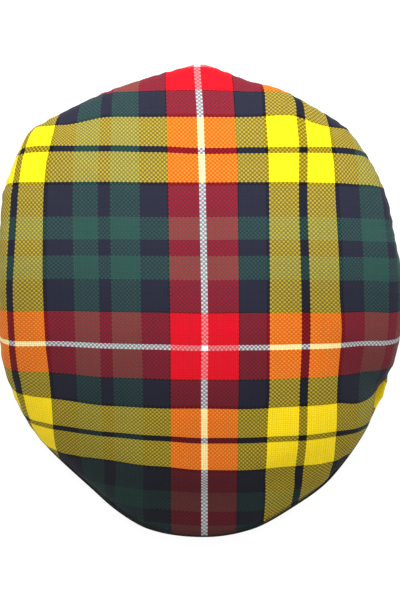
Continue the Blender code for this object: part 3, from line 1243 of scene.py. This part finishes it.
@dataclass(frozen=True)
class FloorFinish:
    """A pale, evenly lit studio floor."""

    name: str = "studio_floor"
    shade: float = 0.25
    glow: float = 0.90
    roughness: float = 0.9
    roughness_spread: float = 0.05
    grain_scale: float = 60.0
    grain_detail: float = 4.0
    specular: float = 0.1

    def material(self) -> bpy.types.Material:
        """Make the floor's material.

        Returns:
            The material.
        """
        bench = Bench(self.name)
        fineness = {"Scale": self.grain_scale, "Detail": self.grain_detail}
        grain = bench.add("ShaderNodeTexNoise", {}, fineness)
        surface = {
            "Base Color": (self.shade, self.shade, self.shade, 1.0),
            "Roughness": grain * self.roughness_spread + self.roughness,
            "Emission Color": (1.0, 1.0, 1.0, 1.0),
            "Emission Strength": self.glow,
            "Specular IOR Level": self.specular,
        }
        return bench.finish(bench.add("ShaderNodeBsdfPrincipled", {}, surface))


@dataclass
class CrownPanel:
    """The one-piece top: a single tartan panel over the crown, the front and the peak."""

    form: CapForm
    lay: ClothLay
    node: str = "crown_panel"
    slot: str = "crown_cloth"
    columns: int = 360
    rows: int = 150
    flat_width: float = 0.300
    flat_length: float = 0.350
    groove_depth: float = 0.0006
    groove_width: float = 0.0030
    stitch_depth: float = 0.0004
    stitch_in: float = 0.0026  # from the peak's edge to its stitching
    stitch_width: float = 0.0008
    pucker_depth: float = 0.0004
    pucker_reach: float = 0.0090
    pucker_turns: tuple[int, ...] = (67, 83, 101)
    # Painted shade along the turned edge round the front: its spread in plan and along the cloth, and where
    # it ends
    shade_reach: float = 0.0015  # in plan, and the next along the cloth
    shade_climb: float = 0.0025
    shade_ends: tuple[float, float] = (46.0, 58.0)  # degrees from the front between which it ends
    swell_ends: tuple[float, float] = (0.55, 0.90)
    # Slow swells of the cloth over the crown, which die out between two shares of the way to the seam
    swells: tuple[Row, ...] = (
        # waves across, waves along, phase, height in mm
        (1.3, 0.9, 0.4, 0.35),
        (-1.1, 2.1, 1.9, 0.30),
        (2.6, 1.2, 3.1, 0.22),
        (3.4, -2.7, 5.0, 0.16),
        (0.4, 4.3, 2.2, 0.14),
    )

    def bearings(self) -> np.ndarray:
        """Return the bearings of the panel's columns, all the way round."""
        return np.arange(self.columns) * (360.0 / self.columns) - 90.0

    def relief(self, bearing: np.ndarray, lines: np.ndarray) -> np.ndarray:
        """Work out the grooves of the seam and the stitching, and the puckers beside them.

        Args:
            bearing: Angles about the highest point, in degrees.
            lines: The outer face, as lines of points (out, up).

        Returns:
            How deep the cloth is drawn in at each point.
        """
        run = run_length(lines, axis=1)
        from_seam = run[:, -1:] - run
        over_peak = 1 - eased(self.form.away(bearing), *self.form.tail_range)[:, None]
        groove = self.groove_depth * np.clip(1 - from_seam / self.groove_width, 0, 1) ** 2 * (1 - over_peak)
        groove += self.stitch_depth * hump(from_seam, self.stitch_in, self.stitch_width) * over_peak
        angle = np.radians(bearing)[:, None]
        waves = sum(np.sin(angle * turns + turns) for turns in self.pucker_turns) / len(self.pucker_turns)
        fade = from_seam / self.pucker_reach * np.exp(1 - from_seam / self.pucker_reach)
        return groove + self.pucker_depth * waves * fade

    def swell(self, points: np.ndarray) -> np.ndarray:
        """Work out the slow swells.

        Args:
            points: Points of the outer face.

        Returns:
            How far each point is lifted.
        """
        form = self.form
        x, y = points[..., 0] / form.width, points[..., 1] / form.length
        height = np.zeros_like(x)
        for across, along, phase, size in self.swells:
            height += size * MM * np.sin(2 * math.pi * (across * x + along * y) + phase)
        return height

    def painted_fold_shade(self, bearing: np.ndarray, lines: np.ndarray) -> np.ndarray:
        """Work out the soil that handling has left on the pressed edge round the front.

        Args:
            bearing: Angles about the highest point, in degrees.
            lines: The outer face, as lines of points (out, up).

        Returns:
            How strongly shade is painted on each point, from 0 to 1.
        """
        out = lines[..., 0]
        run = run_length(lines, axis=1)
        fold = np.argmax(out, axis=1)[:, None]
        inside = np.take_along_axis(out, fold, axis=1) - out
        from_fold = run - np.take_along_axis(run, fold, axis=1)
        front = 1 - eased(self.form.away(bearing), *self.shade_ends)[:, None]
        return hump(inside, 0.0, self.shade_reach) * hump(from_fold, 0.0, self.shade_climb) * front

    def build(self, cloth: bpy.types.Material) -> Shell:
        """Args:
            cloth: The tartan's material.

        Returns:
            The shell it was made from.
        """
        form = self.form
        side = SideForm(form)
        bearing = self.bearings()
        lines = form.crown_lines(bearing, self.rows)
        points = spun(bearing, lines, form.apex_back)
        flat = self.lay.flat(bearing, points)
        drawn = self.relief(bearing, lines)
        into = side.inward(lines, 1.0) - lines
        shaped = lines + into * drawn[..., None]
        inner = lines + into * (drawn[..., None] + form.cloth)
        outer_points = spun(bearing, shaped, form.apex_back)
        inner_points = spun(bearing, inner, form.apex_back)
        share = np.linspace(0, 1, self.rows)
        lift = self.swell(points) * (1 - eased(share, *self.swell_ends))
        outer_points[..., 2] += lift
        inner_points[..., 2] += lift
        reverse = TARTAN.reverse(flat)
        # Painted shade along the crown's turned edge round the front
        painted_shade = self.painted_fold_shade(bearing, lines)
        shell = Shell(self.node + WORN, outer_points, inner_points, flat, reverse, ring=True, painted_shade=painted_shade)
        panel = shell.build(cloth)
        declare(panel, self.node)
        shell.cloth_area()
        log.info("%s: %.4f square metres of cloth", self.node, shell.cloth_area())
        return shell


@dataclass
class SidePanel:
    """One side panel, from the back seam round to the peak's corner, with its hem turned up inside."""

    form: CapForm
    hand: Hand
    slot: str = "side_cloth"
    columns: int = 190
    rows: int = 64
    flat_width: float = 0.305
    flat_depth: float = 0.072
    hem_height: float = 0.016
    hem_step: float = 0.0016  # how far the hem's edge takes to lie down on the panel
    sway_depth: float = 0.0011
    calm_spread: float = 9.0
    sway_turns: tuple[int, ...] = (5, 8, 13)
    stitch_groove: float = 0.0004
    stitch_width: float = 0.0010
    # Threads that lie at a bearing on the right and the left panel, and along the seam
    meeting: float = -39.0
    meeting_thread: tuple[int, int] = (121, 62)
    seam_thread: int = 216

    @property
    def node(self) -> str:
        """Return the name of the CAD node that the panel stands for."""
        return "side_panel_right" if self.hand is Hand.PICTURE_RIGHT else "side_panel_left"

    def bearings(self) -> np.ndarray:
        """Return the bearings of the panel's columns, as if it were the right one."""
        return np.linspace(90.0, self.form.corner, self.columns)

    def placed(self, bearing: np.ndarray) -> np.ndarray:
        """Return bearings on this panel's own side."""
        return bearing if self.hand is Hand.PICTURE_RIGHT else 180.0 - bearing

    def cloth_at(self, bearing: np.ndarray, points: np.ndarray) -> np.ndarray:
        """Lay the flat cloth on the panel, its weft along the seam.

        Args:
            bearing: Angles about the highest point, in degrees.
            points: The outer face, as lines from the seam to the rim.

        Returns:
            Metres across and along the cloth, for each point.
        """
        along_seam = run_length(points[:, 0])
        meeting = float(np.interp(-self.meeting, -bearing, along_seam))
        right = self.hand is Hand.PICTURE_RIGHT
        thread = self.meeting_thread[0 if right else 1]
        start = (thread - half_first(WARP)) * TARTAN.pitch
        across = start - self.hand.value * (along_seam - meeting)
        down = run_length(points, axis=1)
        top = (self.seam_thread - half_first(WEFT)) * TARTAN.pitch
        return np.stack([np.broadcast_to(across[:, None], down.shape), top - down], axis=-1)

    def build(self, cloth: bpy.types.Material) -> Shell:
        """Args:
            cloth: The tartan's material.

        Returns:
            The shell it was made from.
        """
        form = self.form
        side = SideForm(form, self.rows)
        bearing = self.bearings()
        own = self.placed(bearing)
        crown = form.crown_lines(own, form.seam_rows)
        face, into = side.lines(own, crown)
        run = run_length(face, axis=1)
        from_rim = run[:, -1:] - run
        share = run / run[:, -1:]
        angle = np.radians(bearing)[:, None]
        sway = sum(np.sin(angle * turns + turns * self.hand.value) for turns in self.sway_turns)
        soft = self.sway_depth * sway / len(self.sway_turns) * np.sin(math.pi * share) ** 2
        calm = 1 - hump(wrapped(own), form.shown_bearing, self.calm_spread)[:, None]
        stitch_line = self.hem_height - 2 * self.stitch_width
        stitches = self.stitch_groove * hump(from_rim, stitch_line, self.stitch_width)
        face = face + into * (soft * calm + stitches)[..., None]
        turned_up = 1 - eased(from_rim, self.hem_height - self.hem_step, self.hem_height)
        wall = form.cloth + (form.hem - form.cloth) * turned_up
        inner = face + into * wall[..., None]
        outer_points = spun(own, face, form.apex_back)
        inner_points = spun(own, inner, form.apex_back)
        for points in (outer_points, inner_points):
            points[0, :, 0] += self.hand.value * form.seam_gap / 2
        flat = self.cloth_at(bearing, outer_points)
        reverse = TARTAN.reverse(flat)
        shell = Shell(self.node + WORN, outer_points, inner_points, flat, reverse, ring=False)
        panel = shell.build(cloth)
        declare(panel, self.node)
        shell.cloth_area()
        log.info("%s: %.4f square metres of cloth", self.node, shell.cloth_area())
        return shell


@dataclass
class Peak:
    """The stiff peak under the front of the crown panel, covered in plain dark cloth."""

    form: CapForm
    node: str = "peak"
    slot: str = "peak_cloth"
    columns: int = 240
    middle_rows: int = 40
    edge_rows: int = 7
    least: float = 0.04  # so that the two faces never touch at the edges

    def shares(self) -> tuple[np.ndarray, np.ndarray, np.ndarray]:
        """Place the rows from the outer edge to the neck, closer in the two roundings.

        Returns:
            Each row's share of the flat part, its step into a rounding, and its height as a share of
            half the thickness.
        """
        turn = np.linspace(0, math.pi / 2, self.edge_rows)[:-1]
        rounding = 1 - np.cos(turn)
        flat = np.linspace(0, 1, self.middle_rows)
        at = np.concatenate([np.zeros(len(turn)), flat, np.ones(len(turn))])
        edge = np.concatenate([rounding - 1, np.zeros(len(flat)), 1 - rounding[::-1]])
        height = np.concatenate([np.sin(turn), np.ones(len(flat)), np.sin(turn)[::-1]])
        return at, edge, np.maximum(height, self.least)

    def build(self, cloth: bpy.types.Material) -> Shell:
        """Args:
            cloth: The plain cloth's material.

        Returns:
            The shell it was made from.
        """
        form = self.form
        wing = form.wing_tip
        bearing = np.linspace(wing, 2 * form.front - wing, self.columns)
        edge, neck = SideForm(form).peak_ends(bearing, form.crown_lines(bearing, form.seam_rows))
        half = form.peak_thickness / 2
        across = neck - edge
        wide = np.linalg.norm(across, axis=-1, keepdims=True)
        radius = np.minimum(half, wide / 2)
        at, rounding, height = self.shares()
        share = (radius + (wide - 2 * radius) * at[None, :] + radius * rounding[None, :]) / wide
        middle = edge[:, None, :] + across[:, None, :] * share[..., None]
        middle[..., 1] -= half
        upper, under = middle.copy(), middle.copy()
        upper[..., 1] += half * height
        under[..., 1] -= half * height
        upper_points = spun(bearing, upper, form.apex_back)
        under_points = spun(bearing, under, form.apex_back)
        shell = Shell(
            self.node + WORN,
            upper_points,
            under_points,
            upper_points[..., :2],
            under_points[..., :2] * [-1.0, 1.0],
            ring=False,
        )
        peak = shell.build(cloth)
        declare(peak, self.node)
        log.info("%s: %d by %d points", self.node, *upper_points.shape[:2])
        return shell


def declare(piece: bpy.types.Object, node: str) -> None:
    """Ride a piece on the cap's body, in place of its node.

    Args:
        piece: The piece.
        node: The CAD node that it stands for.
    """
    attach(piece, BODY)
    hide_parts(node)


@dataclass
class Studio:
    """The floor, the lights and the camera straight above."""

    pixel: float = 0.000583
    picture_height: int = 600
    centre: tuple[float, float] = (-0.00087, 0.00073)
    distance: float = 8.0
    sharp_height: float = 0.035
    sensor: float = 36.0
    floor_side: float = 12.0
    key_tilt: float = 38.0
    key_distance: float = 2.5
    key_size: float = 1.3
    key_power: float = 80.0
    fill: float = 0.50

    def add_floor(self) -> None:
        """Lay the pale floor."""
        half = self.floor_side / 2
        mesh = bpy.data.meshes.new("floor")
        corners = [(-half, -half, 0.0), (half, -half, 0.0), (half, half, 0.0), (-half, half, 0.0)]
        mesh.from_pydata(corners, [], [(0, 1, 2, 3)])
        mesh.materials.append(FloorFinish().material())
        floor = bpy.data.objects.new("floor", mesh)
        bpy.context.scene.collection.objects.link(floor)

    def add_lights(self) -> None:
        """Hang one broad light behind and above, in an even pale surround."""
        lamp = bpy.data.lights.new("key", "AREA")
        lamp.shape = "SQUARE"
        lamp.size = self.key_size
        lamp.energy = self.key_power
        key = bpy.data.objects.new("key", lamp)
        tilt = math.radians(self.key_tilt)
        key.location = (0.0, self.key_distance * math.sin(tilt), self.key_distance * math.cos(tilt))
        key.rotation_euler = (-tilt, 0.0, 0.0)
        bpy.context.scene.collection.objects.link(key)
        world = bpy.data.worlds.new("surround")
        world.use_nodes = True
        light = world.node_tree.nodes["Background"]
        light.inputs["Color"].default_value = (1.0, 1.0, 1.0, 1.0)
        light.inputs["Strength"].default_value = self.fill
        bpy.context.scene.world = world

    def add_camera(self) -> None:
        """Set the camera straight above, framed as the photograph is."""
        lens = bpy.data.cameras.new("camera")
        seen = self.pixel * self.picture_height
        lens.sensor_width = self.sensor
        lens.lens = self.sensor * (self.distance - self.sharp_height) / seen
        camera = bpy.data.objects.new("camera", lens)
        camera.location = (*self.centre, self.distance)
        bpy.context.scene.collection.objects.link(camera)
        bpy.context.scene.camera = camera

    def build(self) -> None:
        """Make the whole set."""
        self.add_camera()
        self.add_floor()
        self.add_lights()
        bpy.context.scene.view_settings.view_transform = "Standard"
        log.info("studio: lens %.0f mm", bpy.context.scene.camera.data.lens)


def main() -> None:
    """Build the cap piece by piece, then its set."""
    logging.basicConfig(level=logging.INFO, format="%(name)s: %(message)s")
    low, high = CAD_BOX
    form = CapForm(length=high[1] - low[1], width=high[0] - low[0], height=high[2] - low[2])
    tartan = TARTAN.material()
    CrownPanel(form, ClothLay(form)).build(tartan)
    for hand in Hand:
        SidePanel(form, hand).build(tartan)
    Peak(form).build(PEAK_CLOTH.material())
    Studio().build()


if __name__ == "__main__":
    main()
